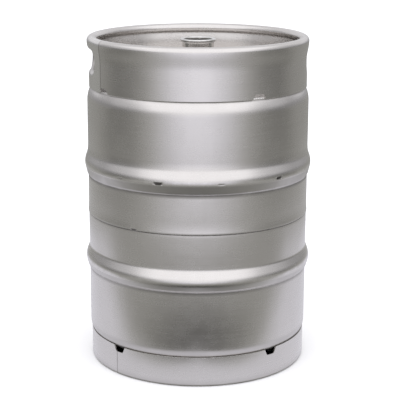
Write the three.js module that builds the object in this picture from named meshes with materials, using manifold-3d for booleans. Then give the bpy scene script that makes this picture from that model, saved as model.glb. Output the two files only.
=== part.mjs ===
// A half-barrel beer keg: a welded stainless shell of two halves with rolling hoops, a top chime with
// hand holes, a foot ring, and a spring-loaded well valve (spear) in its neck.
// Millimetres, +Z up. The origin is on the floor at the keg's axis; -Y is the front, +X is to the right.
import * as THREE from "three";
import { mergeVertices } from "three/addons/utils/BufferGeometryUtils.js";
import Module from "manifold-3d";

const wasm = await Module();
wasm.setup();

// ---------------------------------------------------------------- driving dimensions
const KEG_HEIGHT = 592;
const HOOP_RADIUS = 205;
const SHELL_RADIUS = 198.6; // outside of the wall
const SHELL_SHEET = 1.35; // as drawn
const CHIME_SHEET = 2.5;
const GAP = 0.3; // left between pieces that touch
const SLIVER = 0.05; // edges shorter than this are merged after a cut
const CUT_MARGIN = 10; // how far a notch or window cutter stands clear of the sheet

const GIRTH_Z = 274.5; // weld that joins the two half shells
const GIRTH_FLARE = 0.4; // the upper half stands out this much at the weld
const UPPER_HOOP_Z = 364.5;
const LOWER_HOOP_Z = 189.5;
const HOOP_BELOW = 20; // height of a hoop's lower flank, which ends in a crease
const HOOP_ABOVE = 26; // height of a hoop's upper flank, which blends into the wall

const KNUCKLE_RADIUS = 50; // both heads
const UPPER_TANGENT_Z = 477.5; // where the upper wall turns into its knuckle
const DOME_TOP_Z = 564;
const LOWER_TANGENT_Z = 74.7;
const HEAD_BOTTOM_Z = 10;
const SUMP_RADIUS = 34;
const SUMP_FLOOR_RADIUS = 22;
const SUMP_DEPTH = 5;

const TOP_CHIME_RADIUS = 195.3;
const TOP_CHIME_EDGE_Z = 502;
const BEAD_FLARE_Z = 553; // the wall starts to flare out here
const BEAD_FLARE = [[0, 0], [0.8, 14], [2, 23]]; // [out, up] from there to the curl
const BEAD_OUTER_RADIUS = 198;
const CURL_RADIUS = 8.8;
const CURL_FLAT = 70; // degrees; the bead's crest is flat between this angle and its mirror
const CURL_END = 215; // degrees round the curl, where the sheet ends

const BOTTOM_CHIME_RADIUS = 196.5;
const BOTTOM_CHIME_EDGE_Z = 54;
const FOOT_ROLL = 6; // radius at the floor
const FOOT_INNER_RADIUS = 183.5;
const FOOT_LIP_HEIGHT = 6; // the foot's inner edge turns up this far
const FOOT_LIP_FLARE = 1;

const HAND_HOLES = [-84, 96]; // degrees from the front, positive to the right
const HAND_HOLE_Z = 550;
const HAND_HOLE_HALF_WIDTH = 51.5; // clear opening, inside the rolled lip
const HAND_HOLE_HALF_HEIGHT = 18;
const LIP_ROLL = 8; // outer radius of the lip's bend
const LIP_DEPTH = 10;
const CUTTER_REACH = 16; // how far a cutter stands clear of the sheet on each side

const TOP_NOTCHES = [31.9, -56, -148.1, 124];
const TOP_NOTCH = { edge: 13, inner: 9, height: 8.5 };
const BOTTOM_NOTCHES = [41.3, -44.8, -138.7, 135.2];
const BOTTOM_NOTCH = { edge: 13.5, inner: 7, height: 12, square: 2 };

const NECK_TOP_Z = 585;
const NECK_BOTTOM_Z = 541;
const NECK_FLANGE_RADIUS = 32;
const NECK_FLANGE_HEIGHT = 5;
const NECK_CHAMFER = 1;
const NECK_RADIUS = 28.35;
const NECK_BORE = 25.5;
const NECK_LOWER_BORE = 22.6;
const NECK_LEDGE_Z = 562; // the valve housing's seal rests on it

const RING_GROOVE = { radius: 26.6, z: 569.2, height: 2.6 };
const RING_WIDTH = 4;
const RING_SPLIT = 6; // gap between the ring's ends
const RING_SPLIT_ANGLE = 150; // degrees from the front
const SEAL_HEIGHT = 3;
const SEAL_CHAMFER = 0.6;
const FLANGE_HEIGHT = 3.3; // valve housing
const HOUSING_RADIUS = 20.2;
const HOUSING_SHEET = 1.9;
const HOUSING_BOTTOM_Z = 545;
const HOUSING_MOUTH = 16.5;
const MOUTH_CHAMFER = 1.5;
const MOUTH_SHEET = 0.6; // what is left of the mouth under its chamfer

const GAS_SEAL_RADIUS = 17.6;
const GAS_SEAL_BOTTOM_Z = 561;
const GAS_SEAL_PLAY = 0.6; // round the seal in the housing's mouth
const GAS_SEAL_LIP = { top: 2.2, taper: 0.3, dish: 1.6, rim: 0.8, root: 0.4, width: 3 };
const BALL_SEAT_HEIGHT = 1.5; // the seal's bore narrows to the ball's seat above this
const BALL_RADIUS = 6.75;
const BALL_Z = 560.7;
const BALL_SEAT_RADIUS = 5.6;
const BALL_BORE = 7.4;
const HEAD_FLANGE_Z = 558; // underside of the tube head's flange
const HEAD_RADIUS = 10.6;
const TUBE_HEAD_BOTTOM_Z = 524;
const CAGE_TOP_Z = 551;
const CAGE_FLOOR_Z = 538;
const CAGE_WALL = 1.5;
const CAGE_PLAY = 0.2; // the cage's bore is this much under the head's
const WATERWAY = 3.2; // radius of the hole in the cage's floor

const TUBE_RADIUS = 7.95;
const TUBE_SHEET = 0.9;
const TUBE_BOTTOM_Z = 17;
const TUBE_TOP_Z = 535.7;
const TUBE_INLET = { width: 6, height: 9 };

const BASKET_BOTTOM_Z = 518;
const BASKET_SHEET = 1.6;
const BASKET_HOLE = 11.4;
const WINDOW = { width: 13, height: 13, sill: 5, count: 4, firstAngle: 45 };

const MAIN_SPRING = { radius: 14.6, wire: 0.95, turns: 5 };
const BALL_SPRING = { radius: 4.2, wire: 0.45, turns: 5 };
const CLIP = { width: 6, thickness: 0.8, bottom: 545.5, height: 14, radius: 21.4 };

const BIG_SIDES = 36; // facets round the shell and the chimes
const SMALL_SIDES = 24; // facets round the neck and the valve
const TUBE_SIDES = 16;
const BALL_SIDES = 20;

// ---------------------------------------------------------------- materials
const steel = { color: 0x9c9a95, roughness: 0.42, metalness: 1 };
const bright_steel = { color: 0xb4b3b0, roughness: 0.25, metalness: 1 };
const rubber = { color: 0x1c1c1d, roughness: 0.75, metalness: 0 };
const plastic = { color: 0xd9d6cc, roughness: 0.5, metalness: 0 };

// ---------------------------------------------------------------- helpers
const rad = THREE.MathUtils.degToRad;

// A ring or cup from a closed outline of [radius, z] points.
function turned(outline, sides = BIG_SIDES) {
  const points = outline.map(([r, z]) => new THREE.Vector2(r, z));
  if (THREE.ShapeUtils.area(points) < 0) points.reverse();
  points.push(points[0].clone());
  return new THREE.LatheGeometry(points, sides).rotateX(Math.PI / 2);
}

// A shape in (across, up), pushed along the radius from one radius to another, at an angle from the front.
function radialBlock(shape, fromRadius, toRadius, angle) {
  const block = new THREE.ExtrudeGeometry(shape, { depth: toRadius - fromRadius, bevelEnabled: false });
  return block
    .translate(0, 0, fromRadius)
    .rotateX(Math.PI / 2)
    .rotateZ(rad(angle));
}

function polygon(points) {
  return new THREE.Shape(points.map(([x, y]) => new THREE.Vector2(x, y)));
}

function asSolid(geometry) {
  const bare = geometry.clone();
  bare.deleteAttribute("normal");
  bare.deleteAttribute("uv");
  const merged = mergeVertices(bare);
  return new wasm.Manifold(
    new wasm.Mesh({
      numProp: 3,
      vertProperties: merged.attributes.position.array,
      triVerts: new Uint32Array(merged.index.array),
    }),
  );
}

// The cut solid without the slivers that are smaller than the smallest real feature.
function asGeometry(solid) {
  const mesh = solid.simplify(SLIVER).getMesh();
  const geometry = new THREE.BufferGeometry();
  geometry.setAttribute("position", new THREE.BufferAttribute(mesh.vertProperties, 3));
  geometry.setIndex(new THREE.BufferAttribute(mesh.triVerts, 1));
  geometry.computeVertexNormals();
  return geometry;
}

function cutAway(geometry, tools) {
  return asGeometry(tools.reduce((solid, tool) => solid.subtract(asSolid(tool)), asSolid(geometry)));
}

// Points of an arc about [r, z], from one angle to another, in degrees.
function arc([r, z], radius, from, to, steps) {
  return Array.from({ length: steps + 1 }, (_, i) => {
    const a = rad(from + ((to - from) * i) / steps);
    return [r + radius * Math.cos(a), z + radius * Math.sin(a)];
  });
}

// How far a hoop stands out at a height from its crest: 0 at the wall, 1 at the crest.
function hoopRise(offset) {
  if (offset < 0) return 1 - (offset / HOOP_BELOW) ** 2;
  return Math.cos((Math.PI * offset) / (2 * HOOP_ABOVE)) ** 2;
}

function hoop(crestZ, offsets, inset) {
  const height = HOOP_RADIUS - SHELL_RADIUS;
  return offsets.map((offset) => [SHELL_RADIUS - inset + height * hoopRise(offset), crestZ + offset]);
}
const HOOP_OUTSIDE = [-HOOP_BELOW, -14, -7, 0, 7, 14, 20, HOOP_ABOVE];
const HOOP_INSIDE = [-HOOP_BELOW, -7, 0, 7, HOOP_ABOVE];

// A head's outline from its wall to a radius near the axis: a knuckle, then a crown tangent to it.
// The side is +1 for the upper head and -1 for the lower one.
function head(tangentZ, apexZ, side, inset, innerRadius, knuckleSteps, crownSteps) {
  const knuckle = KNUCKLE_RADIUS - inset;
  const centre = SHELL_RADIUS - KNUCKLE_RADIUS;
  const rise = side * (apexZ - tangentZ) - inset;
  const crown = (centre ** 2 + rise ** 2 - knuckle ** 2) / (2 * (rise - knuckle));
  const crownCentre = rise - crown;
  const lean = Math.asin(centre / (crown - knuckle));
  const points = [];
  for (let i = 0; i <= knuckleSteps; i++) {
    const a = ((Math.PI / 2 - lean) * i) / knuckleSteps;
    points.push([centre + knuckle * Math.cos(a), tangentZ + side * knuckle * Math.sin(a)]);
  }
  const start = crown * Math.sin(lean);
  for (let i = 1; i <= crownSteps; i++) {
    const r = start + ((innerRadius - start) * i) / crownSteps;
    points.push([r, tangentZ + side * (crownCentre + Math.sqrt(crown ** 2 - r ** 2))]);
  }
  return points;
}

// ---------------------------------------------------------------- keg body
function upperShell() {
  const hole = NECK_RADIUS + GAP;
  const outside = [
    [SHELL_RADIUS + GIRTH_FLARE, GIRTH_Z + GAP / 2],
    ...hoop(UPPER_HOOP_Z, HOOP_OUTSIDE, 0),
    ...head(UPPER_TANGENT_Z, DOME_TOP_Z, 1, 0, hole, 4, 3),
  ];
  const inside = [
    [SHELL_RADIUS + GIRTH_FLARE - SHELL_SHEET, GIRTH_Z + GAP / 2],
    ...hoop(UPPER_HOOP_Z, HOOP_INSIDE, SHELL_SHEET),
    ...head(UPPER_TANGENT_Z, DOME_TOP_Z, 1, SHELL_SHEET, hole, 3, 2),
  ];
  return turned([...outside, ...inside.reverse()]);
}

function lowerShell() {
  const sump = (inset) => [
    [SUMP_FLOOR_RADIUS, HEAD_BOTTOM_Z - SUMP_DEPTH + inset],
    [0, HEAD_BOTTOM_Z - SUMP_DEPTH + inset],
  ];
  const outside = [
    [SHELL_RADIUS, GIRTH_Z - GAP / 2],
    ...hoop(LOWER_HOOP_Z, HOOP_OUTSIDE, 0).reverse(),
    ...head(LOWER_TANGENT_Z, HEAD_BOTTOM_Z, -1, 0, SUMP_RADIUS, 4, 3),
    ...sump(0),
  ];
  const inside = [
    [SHELL_RADIUS - SHELL_SHEET, GIRTH_Z - GAP / 2],
    ...hoop(LOWER_HOOP_Z, HOOP_INSIDE, SHELL_SHEET).reverse(),
    ...head(LOWER_TANGENT_Z, HEAD_BOTTOM_Z, -1, SHELL_SHEET, SUMP_RADIUS, 3, 2),
    ...sump(SHELL_SHEET),
  ];
  return turned([...outside, ...inside.reverse()]);
}

// A slot whose edge rolls from a cylinder's surface inwards, wrapped round the keg's axis.
// flare(depth) is how much wider the slot is at a depth below the surface.
function wrappedSlot(halfWidth, halfHeight, surfaceRadius, angle, fromDepth, toDepth, steps, flare) {
  const straight = halfWidth - halfHeight;
  const shape = new THREE.Shape();
  const straightSteps = 4;
  const bendSteps = 6;
  for (const side of [1, -1]) {
    for (let i = 0; i < straightSteps; i++) {
      const x = side * straight * (1 - (2 * i) / straightSteps);
      if (side === 1 && i === 0) shape.moveTo(x, halfHeight);
      else shape.lineTo(x, side * halfHeight);
    }
    const turn = (side * Math.PI) / 2;
    for (let i = 0; i < bendSteps; i++) {
      const a = turn + (Math.PI * i) / bendSteps;
      shape.lineTo(-side * straight + halfHeight * Math.cos(a), halfHeight * Math.sin(a));
    }
  }
  const slot = new THREE.ExtrudeGeometry(shape, {
    depth: toDepth - fromDepth,
    steps,
    bevelEnabled: false,
  });
  const position = slot.attributes.position;
  for (let i = 0; i < position.count; i++) {
    const depth = toDepth - position.getZ(i);
    const spine = THREE.MathUtils.clamp(position.getX(i), -straight, straight);
    const across = position.getX(i) - spine;
    const up = position.getY(i);
    const grow = 1 + flare(depth) / Math.hypot(across, up);
    const turn = rad(angle) + (spine + across * grow) / surfaceRadius;
    const radius = surfaceRadius - depth;
    position.setXYZ(
      i,
      radius * Math.sin(turn),
      -radius * Math.cos(turn),
      HAND_HOLE_Z + up * grow,
    );
  }
  return slot;
}

// How much wider a rolled lip of this outer bend radius is at a depth.
function rolled(bend, depth, firstDepth) {
  if (depth <= firstDepth) return bend;
  const left = LIP_ROLL - depth;
  return left > 0 ? bend - Math.sqrt(bend ** 2 - left ** 2) : 0;
}

function topChime() {
  const curlCentre = [
    BEAD_OUTER_RADIUS - CURL_RADIUS,
    KEG_HEIGHT - CURL_RADIUS * Math.sin(rad(CURL_FLAT)),
  ];
  const outerWall = [
    [TOP_CHIME_RADIUS, TOP_CHIME_EDGE_Z],
    ...BEAD_FLARE.map(([out, up]) => [TOP_CHIME_RADIUS + out, BEAD_FLARE_Z + up]),
  ];
  const outerCurl = [
    ...arc(curlCentre, CURL_RADIUS, 0, CURL_FLAT, 2),
    ...arc(curlCentre, CURL_RADIUS, 180 - CURL_FLAT, CURL_END, 3),
  ];
  const innerCurl = arc(curlCentre, CURL_RADIUS - CHIME_SHEET, 0, CURL_END, 5);
  const innerWall = outerWall.map(([r, z]) => [r - CHIME_SHEET, z]);
  const ring = asSolid(
    turned([...outerWall, ...outerCurl, ...innerCurl.reverse(), ...innerWall.reverse()]),
  );

  const lips = HAND_HOLES.map((angle) =>
    wrappedSlot(
      HAND_HOLE_HALF_WIDTH + CHIME_SHEET,
      HAND_HOLE_HALF_HEIGHT + CHIME_SHEET,
      TOP_CHIME_RADIUS,
      angle,
      CHIME_SHEET / 2,
      LIP_DEPTH,
      2,
      (depth) => rolled(LIP_ROLL - CHIME_SHEET, depth, CHIME_SHEET),
    ),
  );
  const holes = HAND_HOLES.map((angle) =>
    wrappedSlot(
      HAND_HOLE_HALF_WIDTH,
      HAND_HOLE_HALF_HEIGHT,
      TOP_CHIME_RADIUS,
      angle,
      -CUTTER_REACH,
      CUTTER_REACH,
      8,
      (depth) => rolled(LIP_ROLL, depth, 0),
    ),
  );
  const notches = TOP_NOTCHES.map((angle) => {
    const { edge, inner, height } = TOP_NOTCH;
    const low = TOP_CHIME_EDGE_Z - CUT_MARGIN;
    const high = TOP_CHIME_EDGE_Z + height;
    const shape = polygon([
      [-edge, low],
      [edge, low],
      [edge, high - height / 2],
      [inner, high],
      [-inner, high],
      [-edge, high - height / 2],
    ]);
    return radialBlock(shape, TOP_CHIME_RADIUS - CUT_MARGIN, TOP_CHIME_RADIUS + CUT_MARGIN, angle);
  });
  let chime = ring;
  for (const lip of lips) chime = chime.add(asSolid(lip));
  for (const hole of [...holes, ...notches]) chime = chime.subtract(asSolid(hole));
  return asGeometry(chime);
}

function bottomChime() {
  const wall = BOTTOM_CHIME_RADIUS;
  const rollCentre = [wall - FOOT_ROLL, FOOT_ROLL];
  const ring = turned([
    [wall, BOTTOM_CHIME_EDGE_Z],
    ...arc(rollCentre, FOOT_ROLL, 0, -90, 3),
    [FOOT_INNER_RADIUS + CHIME_SHEET, 0],
    [FOOT_INNER_RADIUS, CHIME_SHEET],
    [FOOT_INNER_RADIUS, FOOT_LIP_HEIGHT],
    [FOOT_INNER_RADIUS + CHIME_SHEET, FOOT_LIP_HEIGHT],
    [FOOT_INNER_RADIUS + CHIME_SHEET + FOOT_LIP_FLARE, CHIME_SHEET],
    ...arc(rollCentre, FOOT_ROLL - CHIME_SHEET, -90, 0, 2),
    [wall - CHIME_SHEET, BOTTOM_CHIME_EDGE_Z],
  ]);
  const { edge, inner, height, square } = BOTTOM_NOTCH;
  const high = BOTTOM_CHIME_EDGE_Z + CUT_MARGIN;
  const shape = polygon([
    [-inner, BOTTOM_CHIME_EDGE_Z - height],
    [inner, BOTTOM_CHIME_EDGE_Z - height],
    [edge, BOTTOM_CHIME_EDGE_Z - square],
    [edge, high],
    [-edge, high],
    [-edge, BOTTOM_CHIME_EDGE_Z - square],
  ]);
  return cutAway(
    ring,
    BOTTOM_NOTCHES.map((angle) => radialBlock(shape, wall - CUT_MARGIN, wall + CUT_MARGIN, angle)),
  );
}

function neck() {
  const grooveTop = RING_GROOVE.z + RING_GROOVE.height;
  const flangeZ = NECK_TOP_Z - NECK_FLANGE_HEIGHT;
  return turned(
    [
      [NECK_LOWER_BORE, NECK_BOTTOM_Z],
      [NECK_RADIUS, NECK_BOTTOM_Z],
      [NECK_RADIUS, flangeZ - NECK_CHAMFER],
      [NECK_FLANGE_RADIUS, flangeZ],
      [NECK_FLANGE_RADIUS, NECK_TOP_Z - NECK_CHAMFER],
      [NECK_FLANGE_RADIUS - NECK_CHAMFER, NECK_TOP_Z],
      [NECK_BORE + NECK_CHAMFER, NECK_TOP_Z],
      [NECK_BORE, NECK_TOP_Z - NECK_CHAMFER],
      [NECK_BORE, grooveTop],
      [RING_GROOVE.radius, grooveTop],
      [RING_GROOVE.radius, RING_GROOVE.z],
      [NECK_BORE, RING_GROOVE.z],
      [NECK_BORE, NECK_LEDGE_Z],
      [NECK_LOWER_BORE, NECK_LEDGE_Z],
    ],
    SMALL_SIDES,
  );
}

// ---------------------------------------------------------------- valve housing and its fixed pieces
const sealTop = NECK_LEDGE_Z + GAP + SEAL_HEIGHT;
const flangeBottom = sealTop + GAP;
const flangeTop = flangeBottom + FLANGE_HEIGHT;
const housingBore = HOUSING_RADIUS - HOUSING_SHEET;

function bodySeal() {
  const inner = NECK_LOWER_BORE + GAP;
  const outer = NECK_BORE - GAP;
  const low = NECK_LEDGE_Z + GAP;
  return turned(
    [
      [inner, low],
      [outer, low],
      [outer, sealTop - SEAL_CHAMFER],
      [outer - SEAL_CHAMFER, sealTop],
      [inner, sealTop],
    ],
    SMALL_SIDES,
  );
}

function valveBody() {
  return turned(
    [
      [housingBore, HOUSING_BOTTOM_Z],
      [HOUSING_RADIUS, HOUSING_BOTTOM_Z],
      [HOUSING_RADIUS, flangeBottom],
      [NECK_BORE - GAP, flangeBottom],
      [NECK_BORE - GAP, flangeTop],
      [HOUSING_MOUTH + MOUTH_CHAMFER, flangeTop],
      [HOUSING_MOUTH, flangeTop - MOUTH_CHAMFER],
      [HOUSING_MOUTH, flangeBottom + MOUTH_SHEET],
      [housingBore, flangeBottom + MOUTH_SHEET],
    ],
    SMALL_SIDES,
  );
}

function retainingRing() {
  const low = RING_GROOVE.z + GAP;
  const high = RING_GROOVE.z + RING_GROOVE.height - GAP;
  const outer = RING_GROOVE.radius - GAP;
  const ring = turned(
    [
      [outer - RING_WIDTH, low],
      [outer, low],
      [outer, high],
      [outer - RING_WIDTH, high],
    ],
    SMALL_SIDES,
  );
  const half = RING_SPLIT / 2;
  const split = polygon([
    [-half, low - 1],
    [half, low - 1],
    [half, high + 1],
    [-half, high + 1],
  ]);
  return cutAway(ring, [radialBlock(split, outer - 2 * RING_WIDTH, outer + RING_WIDTH, RING_SPLIT_ANGLE)]);
}

function springBasket() {
  const top = HOUSING_BOTTOM_Z - GAP;
  const floor = BASKET_BOTTOM_Z + BASKET_SHEET;
  const cup = turned(
    [
      [BASKET_HOLE, BASKET_BOTTOM_Z],
      [HOUSING_RADIUS, BASKET_BOTTOM_Z],
      [HOUSING_RADIUS, top],
      [HOUSING_RADIUS - BASKET_SHEET, top],
      [HOUSING_RADIUS - BASKET_SHEET, floor],
      [BASKET_HOLE, floor],
    ],
    SMALL_SIDES,
  );
  const half = WINDOW.width / 2;
  const low = floor + WINDOW.sill;
  const window = polygon([
    [-half, low],
    [half, low],
    [half, low + WINDOW.height],
    [-half, low + WINDOW.height],
  ]);
  const windows = Array.from({ length: WINDOW.count }, (_, i) =>
    radialBlock(
      window,
      HOUSING_RADIUS - CUT_MARGIN,
      HOUSING_RADIUS + CUT_MARGIN,
      WINDOW.firstAngle + (360 / WINDOW.count) * i,
    ),
  );
  return cutAway(cup, windows);
}

function safetyClip() {
  return new THREE.BoxGeometry(CLIP.width, CLIP.thickness, CLIP.height).translate(
    0,
    -CLIP.radius,
    CLIP.bottom + CLIP.height / 2,
  );
}

class Helix extends THREE.Curve {
  constructor(radius, bottom, top, turns) {
    super();
    Object.assign(this, { radius, bottom, top, turns });
  }
  getPoint(t, target = new THREE.Vector3()) {
    const a = 2 * Math.PI * this.turns * t;
    return target.set(
      this.radius * Math.cos(a),
      this.radius * Math.sin(a),
      THREE.MathUtils.lerp(this.bottom, this.top, t),
    );
  }
}

// A compression spring that fills the height between two faces.
function spring({ radius, wire, turns }, lowFace, highFace, stepsPerTurn) {
  const section = new THREE.Shape().absarc(0, 0, wire, 0, 2 * Math.PI);
  const path = new Helix(radius, lowFace + wire + GAP, highFace - wire - GAP, turns);
  return new THREE.ExtrudeGeometry(section, {
    extrudePath: path,
    steps: turns * stepsPerTurn,
    curveSegments: 3,
    bevelEnabled: false,
  });
}

// ---------------------------------------------------------------- moving valve
function gasValveSeal() {
  const shoulder = flangeBottom;
  const lip = GAS_SEAL_LIP;
  return turned(
    [
      [BALL_BORE, GAS_SEAL_BOTTOM_Z],
      [GAS_SEAL_RADIUS, GAS_SEAL_BOTTOM_Z],
      [GAS_SEAL_RADIUS, shoulder],
      [HOUSING_MOUTH - GAS_SEAL_PLAY, shoulder],
      [HOUSING_MOUTH - GAS_SEAL_PLAY - lip.taper, shoulder + lip.top],
      [BALL_SEAT_RADIUS + lip.width, shoulder + lip.dish],
      [BALL_SEAT_RADIUS, shoulder + lip.rim],
      [BALL_SEAT_RADIUS, shoulder - lip.root],
      [BALL_BORE, GAS_SEAL_BOTTOM_Z + BALL_SEAT_HEIGHT],
    ],
    SMALL_SIDES,
  );
}

function tubeHead() {
  const top = GAS_SEAL_BOTTOM_Z - GAP;
  const cageSpace = BALL_BORE + CAGE_WALL;
  const sleeve = TUBE_RADIUS + GAP;
  return turned(
    [
      [sleeve, TUBE_HEAD_BOTTOM_Z],
      [HEAD_RADIUS, TUBE_HEAD_BOTTOM_Z],
      [HEAD_RADIUS, HEAD_FLANGE_Z],
      [GAS_SEAL_RADIUS, HEAD_FLANGE_Z],
      [GAS_SEAL_RADIUS, top],
      [BALL_BORE, top],
      [BALL_BORE, CAGE_TOP_Z + GAP],
      [cageSpace, CAGE_TOP_Z + GAP],
      [cageSpace, CAGE_FLOOR_Z - CAGE_WALL - GAP],
      [sleeve, CAGE_FLOOR_Z - CAGE_WALL - GAP],
    ],
    SMALL_SIDES,
  );
}

function ballCage() {
  const outer = BALL_BORE + CAGE_WALL - GAP;
  return turned(
    [
      [WATERWAY, CAGE_FLOOR_Z - CAGE_WALL],
      [outer, CAGE_FLOOR_Z - CAGE_WALL],
      [outer, CAGE_TOP_Z],
      [BALL_BORE - CAGE_PLAY, CAGE_TOP_Z],
      [BALL_BORE - CAGE_PLAY, CAGE_FLOOR_Z],
      [WATERWAY, CAGE_FLOOR_Z],
    ],
    SMALL_SIDES,
  );
}

function downTube() {
  const tube = turned(
    [
      [TUBE_RADIUS - TUBE_SHEET, TUBE_BOTTOM_Z],
      [TUBE_RADIUS, TUBE_BOTTOM_Z],
      [TUBE_RADIUS, TUBE_TOP_Z],
      [TUBE_RADIUS - TUBE_SHEET, TUBE_TOP_Z],
    ],
    TUBE_SIDES,
  );
  const half = TUBE_INLET.width / 2;
  const inlet = polygon([
    [-half, TUBE_BOTTOM_Z - 1],
    [half, TUBE_BOTTOM_Z - 1],
    [half, TUBE_BOTTOM_Z + TUBE_INLET.height - half],
    [0, TUBE_BOTTOM_Z + TUBE_INLET.height],
    [-half, TUBE_BOTTOM_Z + TUBE_INLET.height - half],
  ]);
  const across = radialBlock(inlet, -2 * TUBE_RADIUS, 2 * TUBE_RADIUS, 0);
  return cutAway(tube, [across]);
}

function checkBall() {
  const ball = new THREE.SphereGeometry(BALL_RADIUS, BALL_SIDES, BALL_SIDES / 2);
  return ball.rotateX(Math.PI / 2).translate(0, 0, BALL_Z);
}

// ---------------------------------------------------------------- assembly
const pieces = [
  ["upper_shell", upperShell(), steel],
  ["lower_shell", lowerShell(), steel],
  ["top_chime", topChime(), steel],
  ["bottom_chime", bottomChime(), steel],
  ["neck", neck(), bright_steel],
  ["body_seal", bodySeal(), rubber],
  ["valve_body", valveBody(), bright_steel],
  ["retaining_ring", retainingRing(), bright_steel],
  ["spring_basket", springBasket(), bright_steel],
  ["safety_clip", safetyClip(), bright_steel],
  ["main_spring", spring(MAIN_SPRING, BASKET_BOTTOM_Z + BASKET_SHEET, HEAD_FLANGE_Z, 12), bright_steel],
  ["gas_valve_seal", gasValveSeal(), rubber],
  ["tube_head", tubeHead(), bright_steel],
  ["ball_cage", ballCage(), plastic],
  ["down_tube", downTube(), bright_steel],
  ["ball_spring", spring(BALL_SPRING, CAGE_FLOOR_Z, BALL_Z - BALL_RADIUS, 10), bright_steel],
  ["check_ball", checkBall(), bright_steel],
];

const keg = new THREE.Group();
for (const [name, geometry, look] of pieces) {
  const mesh = new THREE.Mesh(geometry, new THREE.MeshStandardMaterial(look));
  mesh.name = name;
  keg.add(mesh);
}

export default keg;
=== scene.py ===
"""The looks of a half-barrel beer keg: fine meshes in steel, rubber and plastic, built round its frame.

Metres, +Z up, -Y is the front. Angles are degrees round the keg's axis from the front, positive to the right.
"""

import math

import bmesh
import bpy
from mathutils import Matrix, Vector, noise


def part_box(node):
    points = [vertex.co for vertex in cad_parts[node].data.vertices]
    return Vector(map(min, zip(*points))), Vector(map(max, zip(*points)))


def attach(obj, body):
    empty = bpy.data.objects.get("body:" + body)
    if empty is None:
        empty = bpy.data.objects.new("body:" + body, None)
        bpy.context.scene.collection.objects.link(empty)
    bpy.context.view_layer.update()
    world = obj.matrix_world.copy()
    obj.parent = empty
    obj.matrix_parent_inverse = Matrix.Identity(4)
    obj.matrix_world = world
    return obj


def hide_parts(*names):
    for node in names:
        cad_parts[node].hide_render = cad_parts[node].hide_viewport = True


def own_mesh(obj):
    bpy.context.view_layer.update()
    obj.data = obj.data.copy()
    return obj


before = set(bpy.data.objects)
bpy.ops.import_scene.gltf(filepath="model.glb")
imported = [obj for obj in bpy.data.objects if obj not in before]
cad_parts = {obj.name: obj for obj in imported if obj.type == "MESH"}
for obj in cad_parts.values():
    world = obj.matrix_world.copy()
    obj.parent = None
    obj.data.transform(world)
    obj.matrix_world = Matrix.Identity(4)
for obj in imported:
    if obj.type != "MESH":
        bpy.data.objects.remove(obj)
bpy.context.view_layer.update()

# ---- sizes taken from the frame
UPPER_LOW, UPPER_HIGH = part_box("upper_shell")
LOWER_LOW, LOWER_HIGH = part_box("lower_shell")
CHIME_LOW, CHIME_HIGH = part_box("top_chime")
FOOT_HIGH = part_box("bottom_chime")[1]
NECK_LOW, NECK_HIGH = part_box("neck")

HOOP_RADIUS = UPPER_HIGH.x
GIRTH_Z = (UPPER_LOW.z + LOWER_HIGH.z) / 2
DOME_TOP_Z = UPPER_HIGH.z
SUMP_DEPTH = 0.005
HEAD_BOTTOM_Z = LOWER_LOW.z + SUMP_DEPTH
CHIME_EDGE_Z = CHIME_LOW.z
FOOT_EDGE_Z = FOOT_HIGH.z
# A little over the frame's, because the seams' shape and the sheet's waves draw these two in again.
BEAD_RADIUS = CHIME_HIGH.x + 0.0005
FOOT_RADIUS = FOOT_HIGH.x + 0.0006

# ---- other sizes
SHELL_SHEET = 0.00135
CHIME_SHEET = 0.0025
UPPER_WALL = 0.1991
LOWER_WALL = 0.1988
UPPER_HOOP_Z = 0.3652
LOWER_HOOP_Z = 0.1895
# The slope of a hoop's face at distances from its crest. Below, it ends in a step; above, in a fillet.
UPPER_FLANK_BELOW = ((0, 0), (0.006, 0.29), (0.0185, 0.3), (0.0193, 0.9), (0.021, 0.9), (0.0223, 0))
LOWER_FLANK_BELOW = ((0, 0), (0.007, 0.26), (0.0138, 0.28), (0.0148, 0.85), (0.0168, 0.85), (0.018, 0))
UPPER_FLANK_ABOVE = ((0, 0), (0.01, 0.39), (0.0165, 0.39), (0.022, 0.14), (0.034, 0))
LOWER_FLANK_ABOVE = ((0, 0), (0.01, 0.39), (0.019, 0.39), (0.024, 0))
FLANK_STEPS = 36
UPPER_CREASE_Z = UPPER_HOOP_Z - UPPER_FLANK_BELOW[-1][0]
LOWER_CREASE_Z = LOWER_HOOP_Z - LOWER_FLANK_BELOW[-1][0]
UPPER_KNUCKLE = 0.050
LOWER_KNUCKLE = 0.025
UPPER_TANGENT_Z = 0.4775
LOWER_TANGENT_Z = 0.068
CHIME_RADIUS = 0.1958
FLARE_Z = 0.553  # the chime starts to flare out here
CURL = 0.0088  # radius of the rim's curl
CURL_END = 250  # degrees round the curl, where the sheet ends
FOOT_ROLL = 0.006
FOOT_LIP_ROLL = 0.003  # where the foot's sheet turns up inside
FOOT_INNER_RADIUS = 0.1835
FOOT_BASE_Z = 0.030  # below this height the foot ring is plain
FOOT_LEAN = 0.0002  # the ring draws in by this much at its upper edge

NECK_WAIST = 0.02835
WELD_GAP = 0.0003  # between the neck and the dome

HAND_HOLES = (-84, 96)
HAND_HOLE_Z = 0.550
HAND_HOLE_HALF_WIDTH = 0.0515
HAND_HOLE_HALF_HEIGHT = 0.018
LIP_ROLL = 0.008
LIP_LAND = 0.002  # straight part of the lip after its bend

CHIME_NOTCHES = (31.9, -56.0, -148.1, 124.0)
FOOT_NOTCHES = (41.3, -44.8, -138.7, 135.2)
# A notch's half width at the edge, half width inside, and height.
CHIME_NOTCH = (0.0130, 0.0075, 0.0088)
FOOT_NOTCH = (0.0138, 0.0072, 0.0110)
NOTCH_ROUNDING = 0.7
CHIME_SEAM = -58.8
FOOT_SEAM = -46.4
COLUMN_STEP = 0.5  # degrees between two columns of a fine mesh

rad = math.radians


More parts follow.
